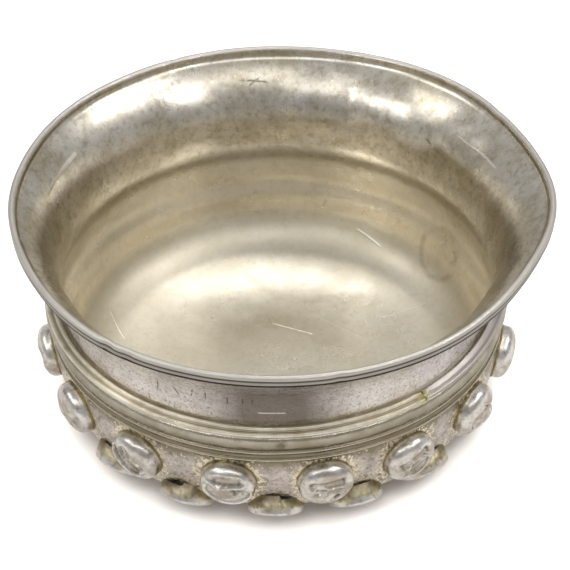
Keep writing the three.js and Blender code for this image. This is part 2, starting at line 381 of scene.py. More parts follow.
# Seats of the bosses
def wall_at(height):
    lower = lower_wall()
    points = lower + belly_wall(lower[-1])
    for a, b in zip(points, points[1:]):
        if b[1] >= height:
            share = (height - a[1]) / (b[1] - a[1])
            return [p + (q - p) * share for p, q in zip(a, b)]


def seat_matrix(height, degrees):
    """The place and turn of a boss: its X runs to the right, Y up the wall and Z outwards."""
    r, z, slope = wall_at(height)
    dip = math.radians(slope)
    side = Vector((1, 0, 0))
    up = Vector((0, -math.sin(dip), math.cos(dip)))
    out = Vector((0, -math.cos(dip), -math.sin(dip)))
    matrix = Matrix((side, up, out)).transposed().to_4x4()
    matrix.translation = Vector((0, -r, z)) * MM
    return Matrix.Rotation(math.radians(degrees), 4, "Z") @ matrix


def boss_angles(row):
    first, strays = (180 / BOSSES_PER_ROW, UPPER_STRAY) if row == "upper" else (0, LOWER_STRAY)
    return [first + i * 360 / BOSSES_PER_ROW + stray for i, stray in enumerate(strays)]


def row_height(row):
    return UPPER_ROW_HEIGHT if row == "upper" else LOWER_ROW_HEIGHT


# Body: raised from one sheet, so it is traced, spun, hammered and then knocked about
def is_inside(face):
    """Tells the faces of the inner wall and the floor from those outside."""
    centre = face.center / MM
    radius = math.hypot(centre.x, centre.y)
    inwards = (face.normal.x * centre.x + face.normal.y * centre.y) / max(radius, 0.01)
    on_wall = inwards < -0.05 and centre.z < BOWL_HEIGHT - 0.4
    return on_wall or (face.normal.z > 0.5 and radius < INSIDE_RADIUS)


def knock_about(body):
    # The lip stands a little to the right of the body below it
    press(body, lambda point: point.z > NECK_TOP[1] - 0.2, (LIP_LEAN, 0, 0), LEAN_DEPTH, "LINEAR")
    # It is out of round: drawn in at the front left and right, and out at the back and right
    for degrees, length, reach in LIP_PUSHES:
        rim = around(degrees, LIP_RADIUS, BOWL_HEIGHT - 2)
        press(body, near(rim, 4), outward(degrees, length), reach)
    # Broad dents in the neck at the back
    for degrees, height, length in NECK_DENTS:
        press(body, near(around(degrees, 68.5, height), 4), outward(degrees, length), 9)
    # Small knocks in the edge of the lip and a gouge in the band
    for degrees, depth in LIP_KNOCKS:
        rim = around(degrees, LIP_RADIUS, BOWL_HEIGHT - 1)
        press(body, near(rim, 1.6), outward(degrees, -depth), 2.5)
    degrees, depth = BAND_GOUGE
    press(body, near(around(degrees, BAND_RADIUS, 35.5), 1.0), outward(degrees, -depth), 2.0)


def mark_boss_distance(body):
    """Keeps how far each point lies from the nearest boss, for the solder round the bosses."""
    middles = []
    for row in ("upper", "lower"):
        middles += [seat_matrix(row_height(row), angle).translation / MM for angle in boss_angles(row)]
    distance = body.data.attributes.new("boss_distance", "FLOAT", "POINT")
    for vertex, value in zip(body.data.vertices, distance.data):
        place = vertex.co / MM
        if place.z < BELLY_LIMIT:
            value.value = min((place - middle).length for middle in middles)
        else:
            value.value = FAR_FROM_BOSSES


def make_body():
    body = trace("raised_bowl", body_outline())
    spin(SPIN_STEPS)
    outwards_and_smooth(body)
    for grain, depth in HAMMER_MARKS:
        hammer(body, grain, depth)
    knock_about(body)
    mark_boss_distance(body)
    return body


# Hoop: a strip with two ridges, bent round the shoulder until its ends meet at the right
def hoop_section():
    run = LEDGE_OUTER[0] - LEDGE_INNER[0]
    drop = LEDGE_INNER[1] - LEDGE_OUTER[1]
    width = math.hypot(run, drop)
    along = Vector((run, -drop)) / width
    out = Vector((drop, run)) / width
    edge_height = STRIP_THICKNESS - STRIP_SUNK
    points = [(STRIP_INSET, -STRIP_SUNK), (STRIP_INSET, edge_height)]
    for middle in (STRIP_INSET + RIDGE_WIDTH / 2, width - STRIP_INSET - RIDGE_WIDTH / 2):
        for i in range(9):
            share = i / 8
            bulge = math.sin(math.pi * share) ** 0.9
            points.append((middle + RIDGE_WIDTH * (share - 0.5), STRIP_THICKNESS + RIDGE_HEIGHT * bulge))
    points += [(width - STRIP_INSET, edge_height), (width - STRIP_INSET, -STRIP_SUNK)]
    start = Vector(LEDGE_INNER)
    return [start + along * distance + out * height for distance, height in points]


def wear_down(hoop):
    """Rubs the ridges low on the stretch to the right of the joint, most of all the inner one."""
    bottom = STRIP_THICKNESS * 0.6
    run = Vector(LEDGE_OUTER) - Vector(LEDGE_INNER)
    for vertex in hoop.data.vertices:
        place = vertex.co / MM
        degrees = math.degrees(math.atan2(place.x, -place.y))
        fade_in = min(1, max(0, (degrees - JOINT_ANGLE) / WORN_FADES[0]))
        fade_out = min(1, max(0, (WORN_END - degrees) / WORN_FADES[1]))
        radius = math.hypot(place.x, place.y)
        offset = Vector((radius, place.z)) - Vector(LEDGE_INNER)
        height = offset.dot(Vector((-run.y, run.x)).normalized())
        on_inner_ridge = offset.dot(run.normalized()) < run.length / 2
        wear = INNER_RIDGE_WEAR if on_inner_ridge else OUTER_RIDGE_WEAR
        if height > bottom:
            drop = (height - bottom) * wear * (fade_in * fade_out)
            out = outward(degrees, -run.y / run.length) + Vector((0, 0, run.x / run.length))
            vertex.co -= out * drop * MM


def make_hoop():
    hoop = trace("ridged_hoop", hoop_section(), closed=True)
    gap = math.degrees(JOINT_GAP / LEDGE_OUTER[0])
    spin(HOOP_STEPS, 360 - gap)
    # Both cut ends are closed with a face
    bpy.ops.mesh.select_mode(type="EDGE")
    bpy.ops.mesh.select_all(action="DESELECT")
    bpy.ops.mesh.select_non_manifold(extend=False)
    bpy.ops.mesh.fill_holes(sides=0)
    bpy.ops.object.mode_set(mode="OBJECT")
    # The outline starts on +X, and the joint belongs at its own angle from the front
    pick(hoop)
    hoop.rotation_euler.z = math.radians(JOINT_ANGLE - 90 + gap / 2)
    bpy.ops.object.transform_apply(location=False, rotation=True, scale=False)
    outwards_and_smooth(hoop)
    hammer(hoop, *HOOP_HAMMER_MARKS)
    wear_down(hoop)
    # One end is filed round, and the other runs out thin and worn
    crest_radius, crest_height = 68.5, 39.6
    left_end = around(JOINT_ANGLE - 0.6, crest_radius, crest_height)
    right_end = around(JOINT_ANGLE + 3, crest_radius, crest_height)
    press(hoop, near(left_end, 0.9), outward(JOINT_ANGLE, -0.25) + Vector((0, 0, -0.5)), 1.6)
    press(hoop, near(right_end, 2.0), outward(JOINT_ANGLE, -0.25) + Vector((0, 0, -0.42)), 26)
    return hoop


# Bosses: one sheet is traced and spun for each row, and each copy gets its own place and dents
def dome_height(share, height):
    rise = (1 - min(1, share) ** DOME_ROUNDNESS) ** (1 / DOME_ROUNDNESS)
    return BOSS_SKIRT + (height - BOSS_SKIRT) * rise


def boss_outline(height):
    """Rings stand close together over the steep side, and evenly spaced over the top."""
    points = [(BOSS_RADIUS + 0.2, -SKIRT_REACH), (BOSS_RADIUS + 0.02, 0.3), (BOSS_RADIUS, 0.8)]
    points.append((BOSS_RADIUS, BOSS_SKIRT))
    for i in range(1, 11):
        angle = math.radians(STEEP_SIDE) * i / 10
        share = math.cos(angle) ** (2 / DOME_ROUNDNESS)
        points.append((BOSS_RADIUS * share, dome_height(share, height)))
    last = points[-1][0]
    for i in range(1, 21):
        r = last * (1 - i / 20)
        points.append((r, dome_height(r / BOSS_RADIUS, height)))
    return points


def make_first_boss(row):
    height = UPPER_BOSS_HEIGHT if row == "upper" else LOWER_BOSS_HEIGHT
    boss = trace(f"first_{row}_boss", boss_outline(height))
    spin(BOSS_STEPS)
    outwards_and_smooth(boss)
    # How high each point stands over the wall, for the gilding round the foot
    rise = boss.data.attributes.new("rise", "FLOAT", "POINT")
    for vertex, value in zip(boss.data.vertices, rise.data):
        value.value = vertex.co.z / MM
    return boss


# Dents that the front shows, each as its start, its end, its depth, its reach and how it fades.
# X runs to the right and Y up the wall, from the middle of the boss. A negative depth is a crease
# that stands up. Every depth is multiplied by its row's factor.
DENT_FACTOR = {"upper": 1.15, "lower": 0.45}
DENTS = {
    "upper_16": [
        ((-3.0, -1.8), (3.4, -1.8), 1.7, 3.8, "SPHERE"),
        ((-2.6, 5.0), (3.6, 4.8), 0.6, 2.1, "SMOOTH"),
        ((-4.3, 1.5), (-4.0, 1.6), 1.6, 2.1, "SMOOTH"),
        ((1.9, 1.3), (2.9, 1.4), 1.5, 2.1, "SMOOTH"),
        ((-2.3, -0.7), (-2.1, -0.7), 0.8, 1.2, "SMOOTH"),
        ((2.0, -2.0), (3.2, -1.7), 0.9, 1.6, "SMOOTH"),
        ((-6.0, 4.0), (-1.7, 2.9), -0.5, 1.1, "SHARP"),
        ((-1.7, 2.9), (5.6, 3.2), -0.5, 1.1, "SHARP"),
    ],
    "upper_01": [
        ((-4.4, 2.6), (4.2, 3.1), 0.9, 2.2, "SMOOTH"),
        ((-2.4, -1.6), (3.2, -1.4), 1.2, 3.0, "SMOOTH"),
        ((-2.6, 0.2), (-1.2, 0.0), 1.0, 1.5, "SMOOTH"),
        ((2.2, -3.9), (3.4, -3.6), 1.0, 1.0, "SHARP"),
    ],
    "upper_02": [
        ((-4.4, 1.2), (3.2, 4.4), 0.9, 2.0, "SMOOTH"),
        ((-0.5, -0.6), (2.8, 1.4), 1.6, 2.0, "SMOOTH"),
        ((-1.8, -3.6), (3.8, -1.4), 1.2, 2.3, "SPHERE"),
    ],
    "upper_03": [
        ((-3.0, -2.0), (2.0, 0.0), 1.1, 3.0, "SMOOTH"),
        ((0.0, 3.0), (5.0, -1.0), 1.2, 1.7, "SHARP"),
        ((-3.7, -3.4), (-3.6, -3.3), 0.9, 1.0, "SHARP"),
    ],
    "upper_04": [((1.0, 0.0), (4.0, 3.0), 0.9, 3.0, "SMOOTH")],
    "upper_15": [
        ((-1.4, 3.4), (2.6, 0.2), 1.8, 2.4, "SPHERE"),
        ((-5.0, 2.2), (1.2, -3.6), 1.6, 2.1, "SPHERE"),
        ((-6.0, 4.2), (-1.0, 0.6), -0.5, 1.0, "SHARP"),
    ],
    "upper_14": [((3.0, -2.0), (5.0, 1.0), 1.1, 3.5, "SMOOTH")],
    "upper_13": [((2.0, -1.0), (4.0, 3.0), 0.8, 3.0, "SMOOTH")],
}

# The stretch of a boss whose skirt was let down to the wall with a long reach, from left to right.
# Elsewhere on its upper half it has the short reach, and on a lower boss its edge stands free.
LET_DOWN = {"lower_16": (1.0, 9.0), "lower_01": (-9.0, 1.5), "lower_02": (-9.0, 4.5)}
ODD_LET_DOWN = (-9.0, 9.0)
EVEN_LET_DOWN = (-9.0, 2.0)
LONG_REACH = 4.0
SHORT_REACH = 2.9


def dent(boss, start, end, depth, reach, fade):
    middle = (Vector(start) + Vector(end)) / 2
    along = (Vector(end) - Vector(start)).normalized()
    half = (Vector(end) - Vector(start)).length / 2

    def wanted(point):
        offset = Vector(point[:2]) - middle
        on_line = offset.dot(along)
        return abs(on_line) < half + 0.2 and (offset - along * on_line).length < 0.25

    press(boss, wanted, (0, 0, -depth), reach, fade)


def any_dents(chance):
    dents = []
    for _ in range(chance.randint(1, 3)):
        turn = chance.uniform(0, 2 * math.pi)
        distance = chance.uniform(0.5, 4.5)
        middle = Vector((distance * math.cos(turn), distance * math.sin(turn)))
        lie = chance.uniform(0, math.pi)
        half = Vector((math.cos(lie), math.sin(lie))) * chance.uniform(0.3, 3.5)
        fade = chance.choice(["SMOOTH", "SHARP", "SPHERE"])
        depth = chance.uniform(0.5, 1.4)
        reach = chance.uniform(1.6, 3.2)
        dents.append((middle - half, middle + half, depth, reach, fade))
    return dents


def seat_skirt(boss, body, let_down):
    """Brings the edge of the skirt down to the wall, or as far down as the skirt reaches."""
    down = boss.matrix_world.to_3x3() @ Vector((0, 0, -1))
    back = boss.matrix_world.inverted()
    for vertex in boss.data.vertices:
        if vertex.co.z < (0.1 - SKIRT_REACH) * MM:
            x, y = vertex.co.x / MM, vertex.co.y / MM
            reach = LONG_REACH if y < 0 or let_down[0] < x < let_down[1] else SHORT_REACH
            start = boss.matrix_world @ (Vector((x, y, 1)) * MM)
            found, place, _, _ = body.ray_cast(start, down, distance=(reach + 1) * MM)
            vertex.co = back @ place if found else Vector((x, y, -reach)) * MM


def place_boss(first, body, row, number, degrees, chance):
    boss = first.copy()
    boss.data = first.data.copy()
    bpy.context.scene.collection.objects.link(boss)
    key = f"{row}_{number:02d}"
    boss.name = f"{row}_boss_shell_{number:02d}"
    boss.data.name = boss.name
    for start, end, depth, reach, fade in DENTS.get(key) or any_dents(chance):
        dent(boss, start, end, depth * DENT_FACTOR[row], reach, fade)
    boss.matrix_world = seat_matrix(row_height(row), degrees)
    bpy.context.view_layer.update()
    seat_skirt(boss, body, LET_DOWN.get(key, ODD_LET_DOWN if number % 2 else EVEN_LET_DOWN))
    pick(boss)
    bpy.ops.object.transform_apply(location=True, rotation=True, scale=True)
    apply_modifier(boss, "SOLIDIFY", thickness=BOSS_SHEET * MM, offset=-1)
    return boss


def make_bosses(body):
    chance = random.Random(7)
    bosses = []
    for row in ("upper", "lower"):
        first = make_first_boss(row)
        for number, degrees in enumerate(boss_angles(row), start=1):
            bosses.append(place_boss(first, body, row, number, degrees, chance))
        bpy.data.objects.remove(first)
    return bosses


# Materials
def hex_colour(text):
    """A colour written as sRGB hex, turned to the linear values that the shader wants."""
    channels = [int(text[i:i + 2], 16) / 255 for i in (1, 3, 5)]
    linear = [c / 12.92 if c <= 0.04045 else ((c + 0.055) / 1.055) ** 2.4 for c in channels]
    return (*linear, 1)


def add(tree, kind, inputs=None, out=0, **settings):
    """Adds a node. Each input is given a value, a hex colour, or the output of another node."""
    made = tree.nodes.new("ShaderNode" + kind)
    for key, value in settings.items():
        setattr(made, key, value)
    for key, value in (inputs or {}).items():
        if isinstance(value, bpy.types.NodeSocket):
            tree.links.new(value, made.inputs[key])
        else:
            made.inputs[key].default_value = hex_colour(value) if isinstance(value, str) else value
    return made.outputs[out]


def new_material(name):
    material = bpy.data.materials.new(name)
    material.use_nodes = True
    material.node_tree.nodes.clear()
    return material, material.node_tree


def stain(tree, colour, tint, where, strength=1.0):
    """Lays a tint over a colour where a mask is 1, as strongly as a number or another mask says."""
    share = add(tree, "Math", {0: where, 1: strength}, operation="MULTIPLY")
    return add(tree, "Mix", {0: share, 6: colour, 7: tint}, out=2, data_type="RGBA")


def patches(tree, place, size, low, high, detail=5, roughness=0.6):
    """Ragged patches of a size in millimetres, 1 inside and 0 outside, with a soft edge."""
    cloud = add(tree, "TexNoise", {
        "Vector": place, "Scale": 1 / (size * MM), "Detail": detail, "Roughness": roughness,
    })
    return add(tree, "MapRange", {"Value": cloud, 1: low, 2: high})


def closeness(tree, place, middle, radius, fade):
    """1 within a radius of a point in millimetres, fading to 0 over the next fade millimetres."""
    offset = add(tree, "VectorMath", {0: place, 1: middle * MM}, operation="SUBTRACT")
    far = add(tree, "VectorMath", {0: offset}, out=1, operation="LENGTH")
    return add(tree, "MapRange", {"Value": far, 1: (radius + fade) * MM, 2: radius * MM})


def ring_line(tree, height, middle, half, fade):
    """1 on a line round the bowl at a height in millimetres, fading to 0 above and below it."""
    offset = add(tree, "Math", {0: height, 1: middle * MM}, operation="SUBTRACT")
    offset = add(tree, "Math", {0: offset}, operation="ABSOLUTE")
    return add(tree, "MapRange", {"Value": offset, 1: (half + fade) * MM, 2: half * MM})


def scratches(tree, place, lines, width, facing=None):
    """1 on thin straight scratches, each from a start to an end in millimetres, and 0 elsewhere."""
    found = None
    for start, end in lines:
        middle = (start + end) / 2
        normal = facing or Vector((middle.x, middle.y, 0)).normalized()
        across = (end - start).normalized().cross(normal).normalized()
        offset = add(tree, "VectorMath", {0: place, 1: middle * MM}, operation="SUBTRACT")
        aside = add(tree, "VectorMath", {0: offset, 1: across}, out=1, operation="DOT_PRODUCT")
        aside = add(tree, "Math", {0: aside}, operation="ABSOLUTE")
        on_line = add(tree, "MapRange", {"Value": aside, 1: width * MM, 2: 0.0})
        near_middle = closeness(tree, place, middle, (end - start).length * 0.4, 1.0)
        line = add(tree, "Math", {0: on_line, 1: near_middle}, operation="MULTIPLY")
        found = line if found is None else add(tree, "Math", {0: found, 1: line}, operation="MAXIMUM")
    return found


def metal_output(tree, colour, roughness, normal):
    shader = add(tree, "BsdfPrincipled", {
        "Base Color": colour, "Metallic": 1.0, "Roughness": roughness, "Normal": normal,
    })
    output = tree.nodes.new("ShaderNodeOutputMaterial")
    tree.links.new(shader, output.inputs["Surface"])


# Turning and rubbing drew the grain of the neck, the band and the hoop out sideways, so a pattern
# there is stretched 4.5 times
DRAWN_OUT = (0.22, 0.22, 1)

# Scratches and marks inside, and one painted highlight, each from its start to its end
WALL_SCRATCHES_AND_PAINTED_GLINT = [
    (around(-109, 70.7, 60.6), around(-121, 70.8, 60.8)),
    (around(-100, 70.6, 60.9), around(-122, 71.1, 61.3)),
    (around(128, 70.5, 60.3), around(108, 70.7, 60.7)),
    # This one is no scratch but a painted highlight: a bright crescent on the wall at the back left
    (around(-144, 67, 25.7), around(-149, 66.6, 19.7)),
    (Vector((26.5, 56, 13.3)), Vector((34.8, 49.5, 10.5))),
]
FLOOR_SCRATCHES = [
    (Vector((10, 28, 1)), Vector((27, 15, 1))),
    (Vector((-2, 23, 1)), Vector((12, 17, 1))),
    (Vector((-54, 24, 6)), Vector((-48, 12, 3))),
    (Vector((33, 23, 2)), Vector((49, 26, 5))),
]
DARK_MARKS = [
    (around(-171, 72.2, 62.6), around(-179, 71.4, 61.5)),
    (around(-174, 71, 61), around(-177, 72, 63)),
    (around(-154, 67, 55), around(-156, 66.6, 54)),
    (around(135, 67.2, 54.8), around(133, 66.8, 53.8)),
]
# A faint ring of tarnish on the wall at the right: its middle, its radius and the width of its line
GHOST_RING_MIDDLE = around(124.5, 66, 17)
GHOST_RING_RADIUS = 9.0
GHOST_RING_LINE = 1.8


# Raised silver, inside: rubbed smooth by use, then tarnished to a warm grey with olive clouds.
# The clouds are 10 to 20 mm across, the mottling 1 to 3 mm, and the rubbing leaves fine lines.
def inner_silver():
    material, tree = new_material("tarnished raised silver, inside")
    place = add(tree, "TexCoord", out=3)
    height = add(tree, "SeparateXYZ", {0: place}, out=2)
    colour = stain(tree, "#dcd6cb", "#c0b7a3", patches(tree, place, 16.7, 0.4, 0.7, 6))
    colour = stain(tree, colour, "#a79c80", patches(tree, place, 5.88, 0.48, 0.72), 0.5)
    colour = stain(tree, colour, "#8f8368", patches(tree, place, 2.08, 0.5, 0.7), 0.45)
    colour = stain(tree, colour, "#f0ebe0", patches(tree, place, 1.33, 0.58, 0.7), 0.5)
    colour = stain(tree, colour, "#7d725a", patches(tree, place, 0.77, 0.6, 0.74, 2), 0.4)
    # The belly and the floor are covered more evenly, with a thin yellowish tarnish
    low = add(tree, "MapRange", {"Value": height, 1: 46 * MM, 2: 34 * MM})
    colour = stain(tree, colour, "#f0e9d8", low, 0.62)
    # Painted shade darkens the wall along the inner bend of the shoulder and in the turn of the wall,
    # which is also rougher
    colour = stain(tree, colour, "#7d7050", ring_line(tree, height, 37.5, 1, 3), 0.35)
    turn = ring_line(tree, height, 10, 2.5, 4)
    colour = stain(tree, colour, "#9c9176", turn, 0.4)
    disc = closeness(tree, place, GHOST_RING_MIDDLE, GHOST_RING_RADIUS, 1.2)
    hole = closeness(tree, place, GHOST_RING_MIDDLE, GHOST_RING_RADIUS - GHOST_RING_LINE, 1.2)
    ring = add(tree, "Math", {0: disc, 1: hole}, operation="SUBTRACT")
    ring = add(tree, "Math", {0: ring, 1: 0.4}, operation="MULTIPLY")
    colour = stain(tree, colour, "#8d8061", ring, patches(tree, place, 5, 0.35, 0.6))
    dark = scratches(tree, place, DARK_MARKS, 0.45)
    colour = stain(tree, colour, "#6f6652", dark, patches(tree, place, 1.11, 0.38, 0.55))
    on_wall = scratches(tree, place, WALL_SCRATCHES_AND_PAINTED_GLINT, 0.4)
    on_floor = scratches(tree, place, FLOOR_SCRATCHES, 0.2, Vector((0, 0, 1)))
    # The bright lines are lightened, and the painted highlight among them
    bright = add(tree, "Math", {0: on_wall, 1: on_floor}, operation="MAXIMUM")
    colour = stain(tree, colour, "#fbf7ee", bright, 0.7)
    worn = patches(tree, place, 22.2, 0.3, 0.7)
    roughness = add(tree, "MapRange", {"Value": worn, 3: 0.25, 4: 0.32})
    roughness = add(tree, "Math", {0: turn, 1: 0.18, 2: roughness}, operation="MULTIPLY_ADD")
    grain = add(tree, "TexNoise", {"Vector": place, "Scale": 1 / (2.38 * MM), "Detail": 5})
    depth = 0.2 * MM
    normal = add(tree, "Bump", {"Height": grain, "Strength": 0.15, "Distance": depth})
    normal = add(tree, "Bump", {"Height": bright, "Strength": 0.4, "Distance": depth, "Normal": normal})
    metal_output(tree, colour, roughness, normal)
    return material


# Short upright strokes and one rubbed line on the neck
NECK_MARKS = [
    (around(-30, 66.6, 50), around(-30.4, 66.4, 47)),
    (around(-25.8, 66.8, 49.6), around(-24.6, 66.4, 47)),
    (around(-20.6, 66.8, 51), around(-21.2, 66.4, 48)),
    (around(-17.4, 66.8, 51), around(-17.6, 66.5, 48)),
    (around(-12, 66.6, 50), around(-12.2, 66.3, 47.5)),
    (around(-8.4, 66.8, 50), around(-8.4, 66.4, 48)),
    (around(-6, 66.8, 50), around(-6, 66.4, 48.4)),
]
RUBBED_LINE = (around(-5, 66.1, 44.6), around(2, 66.1, 44.5))


def neck_colour(tree, place, drawn, height, flare):
    colour = stain(tree, "#f4f0ef", "#dcd6d3", patches(tree, place, 11.1, 0.4, 0.66))
    colour = stain(tree, colour, "#bdb4b0", patches(tree, drawn, 2.38, 0.54, 0.72), 0.45)
    colour = stain(tree, colour, "#a39a95", patches(tree, place, 1.11, 0.53, 0.66), 0.6)
    colour = stain(tree, colour, "#756c67", patches(tree, place, 0.588, 0.57, 0.66, 3), 0.6)
    # The front of the neck is painted darker, a painted dark reflection of the shaded floor before it,
    # and the flare above it is painted near white, a painted reflection of the lit floor
    painted_front_shade = closeness(tree, place, around(-1, 67, 45), 9, 15)
    below_flare = add(tree, "MapRange", {"Value": height, 1: 60 * MM, 2: 53 * MM, 4: 0.9})
    colour = stain(tree, colour, "#756c64", painted_front_shade, below_flare)
    colour = stain(tree, colour, "#fdfaf8", flare, 0.8)
    # The foot of the neck above the hoop is slightly darkened, a painted dark reflection
    low = add(tree, "MapRange", {"Value": height, 1: 43.5 * MM, 2: 40.5 * MM})
    colour = stain(tree, colour, "#9a9078", low, 0.15)
    marks = scratches(tree, place, NECK_MARKS, 0.32)
    colour = stain(tree, colour, "#453f3b", marks, patches(tree, place, 1.43, 0.3, 0.5))
    colour = stain(tree, colour, "#f2eeea", scratches(tree, place, [RUBBED_LINE], 0.3))
    # The face of the lip is painted darker, a painted dark reflection, with a painted shade line in its
    # groove and a painted shadow line at its arris, where the lip overhangs the neck
    face = add(tree, "MapRange", {"Value": height, 1: 66.1 * MM, 2: 66.4 * MM})
    colour = stain(tree, colour, "#7d756c", face, 0.7)
    colour = stain(tree, colour, "#545040", ring_line(tree, height, 68.3, 0.2, 0.35))
    colour = stain(tree, colour, "#332e2a", ring_line(tree, height, 66.75, 0.3, 0.2))
    crest = add(tree, "MapRange", {"Value": height, 1: 68.8 * MM, 2: 69.3 * MM})
    return stain(tree, colour, "#d2cdc4", crest)


def band_colour(tree, place, drawn, height):
    colour = stain(tree, "#c0b9ab", "#a39a88", patches(tree, place, 9.09, 0.4, 0.7))
    colour = stain(tree, colour, "#8d836d", patches(tree, drawn, 2, 0.5, 0.7), 0.5)
    # The lower part of the band and the threads are darkened as painted shade, and the crests of the
    # threads are lightened as painted highlights
    foot = add(tree, "MapRange", {"Value": height, 1: 37.2 * MM, 2: 33.5 * MM})
    colour = stain(tree, colour, "#7d7259", foot, 0.8)
    for depth in THREAD_DEPTHS:
        crest = ring_line(tree, height, BOWL_HEIGHT - depth, 0.1, 0.35)
        colour = stain(tree, colour, "#d9d0bc", crest, 0.9)
    # A dark spot at the front, and a greenish deposit under the joint of the hoop
    spot = closeness(tree, place, around(0.6, 69.9, 35.6), 0.9, 1.6)
    colour = stain(tree, colour, "#6b6553", spot, patches(tree, place, 3.33, 0.3, 0.6))
    joint = closeness(tree, place, around(JOINT_ANGLE, 68, 38.8), 1.2, 1.0)
    return stain(tree, colour, "#beb483", joint)


def belly_colour(tree, place, height, gilded, distance):
    colour = stain(tree, "#d8cfcb", "#b0a69d", patches(tree, place, 7.69, 0.46, 0.6))
    colour = stain(tree, colour, "#857b6c", patches(tree, place, 2.38, 0.52, 0.61, 8, 0.7), 0.65)
    colour = stain(tree, colour, "#6b624f", patches(tree, place, 0.909, 0.6, 0.68, 3), 0.6)
    # Painted shade darkens the belly just under the threads, and tarnish lies round the bosses
    top = add(tree, "MapRange", {"Value": height, 1: 24.5 * MM, 2: 27.5 * MM})
    colour = stain(tree, colour, "#857b62", top, 0.85)
    by_boss = add(tree, "MapRange", {"Value": distance, 1: 10.5, 2: 8.6})
    colour = stain(tree, colour, "#8d8162", patches(tree, place, 1.053, 0.54, 0.6, 4, 0.7), by_boss)
    return stain(tree, colour, "#f5ebcf", gilded)


# Raised silver, outside: a pinkish grey neck, an olive grey band, and a pitted, flaking belly.
# Grains of gilding and solder lie round the bosses. Pits are 0.3 to 1 mm across, patches 5 mm.
def outer_silver():
    material, tree = new_material("tarnished raised silver, outside")
    place = add(tree, "TexCoord", out=3)
    height = add(tree, "SeparateXYZ", {0: place}, out=2)
    drawn = add(tree, "VectorMath", {0: place, 1: DRAWN_OUT}, operation="MULTIPLY")
    distance = add(tree, "Attribute", out=2, attribute_name="boss_distance")
    near_boss = add(tree, "MapRange", {"Value": distance, 1: 12.5, 2: 8.8, 4: 0.15})
    grain = add(tree, "TexNoise", {
        "Vector": place, "Scale": 1 / (1.053 * MM), "Detail": 4, "Roughness": 0.7,
    })
    grain = add(tree, "Math", {0: grain, 1: near_boss}, operation="ADD")
    gilded = add(tree, "MapRange", {"Value": grain, 1: 0.6, 2: 0.63})
    flare = add(tree, "MapRange", {"Value": height, 1: 57 * MM, 2: 61 * MM})
    above = add(tree, "MapRange", {"Value": height, 1: 40.5 * MM, 2: 41.2 * MM})
    neck = neck_colour(tree, place, drawn, height, flare)
    colour = stain(tree, band_colour(tree, place, drawn, height), neck, above)
    below = add(tree, "MapRange", {"Value": height, 1: 28.5 * MM, 2: 27.5 * MM})
    colour = stain(tree, colour, belly_colour(tree, place, height, gilded, distance), below)
    worn = patches(tree, place, 9.09, 0.35, 0.65)
    roughness = add(tree, "MapRange", {"Value": worn, 3: 0.22, 4: 0.34})
    roughness = add(tree, "Math", {0: flare, 1: 0.2, 2: roughness}, operation="MULTIPLY_ADD")
    pits = add(tree, "TexNoise", {
        "Vector": place, "Scale": 1 / (1.79 * MM), "Detail": 6, "Roughness": 0.65,
    })
    drawn_grain = add(tree, "TexNoise", {"Vector": drawn, "Scale": 1 / (1.11 * MM), "Detail": 4})
    raised = add(tree, "Math", {0: gilded, 1: below}, operation="MULTIPLY")
    depth = 0.3 * MM
    normal = add(tree, "Bump", {"Height": drawn_grain, "Strength": 0.35, "Distance": 0.2 * MM})
    normal = add(tree, "Bump", {"Height": pits, "Strength": 0.55, "Distance": depth, "Normal": normal})
    normal = add(tree, "Bump", {"Height": raised, "Strength": 0.7, "Distance": depth, "Normal": normal})
    metal_output(tree, colour, roughness, normal)
    return material


# Drawn silver strip: its ridges are rubbed bright, a stretch of it is worn down to the colour of
# the neck, and a greenish deposit fills its joint.
def strip_silver():
    material, tree = new_material("drawn silver strip")
    place = add(tree, "TexCoord", out=3)
    drawn = add(tree, "VectorMath", {0: place, 1: DRAWN_OUT}, operation="MULTIPLY")
    colour = stain(tree, "#f1ebdb", "#cfc5ae", patches(tree, place, 6.25, 0.35, 0.7))
    colour = stain(tree, colour, "#9c9179", patches(tree, drawn, 1.43, 0.54, 0.7), 0.4)
    # Tarnish stays in the groove between the ridges
    bend = add(tree, "NewGeometry", out=7)
    hollow = add(tree, "MapRange", {"Value": bend, 1: 0.5, 2: 0.46})
    colour = stain(tree, colour, "#877d66", hollow, 0.7)
    worn = closeness(tree, place, around(58, 67, 39), 21, 4)
    colour = stain(tree, colour, "#c2bab6", worn, 0.9)
    by_joint = closeness(tree, place, around(JOINT_ANGLE + 0.8, 68, 39.5), 1.0, 2.0)
    colour = stain(tree, colour, "#beb483", by_joint, patches(tree, place, 2, 0.4, 0.5))
    grain = add(tree, "TexNoise", {"Vector": drawn, "Scale": 1 / (1.43 * MM), "Detail": 4})
    normal = add(tree, "Bump", {"Height": grain, "Strength": 0.3, "Distance": 0.2 * MM})
    rubbed = patches(tree, place, 6.25, 0.3, 0.7)
    roughness = add(tree, "MapRange", {"Value": rubbed, 3: 0.26, 4: 0.38})
    roughness = add(tree, "Math", {0: worn, 1: 0.14, 2: roughness}, operation="MULTIPLY_ADD")
    metal_output(tree, colour, roughness, normal)
    return material
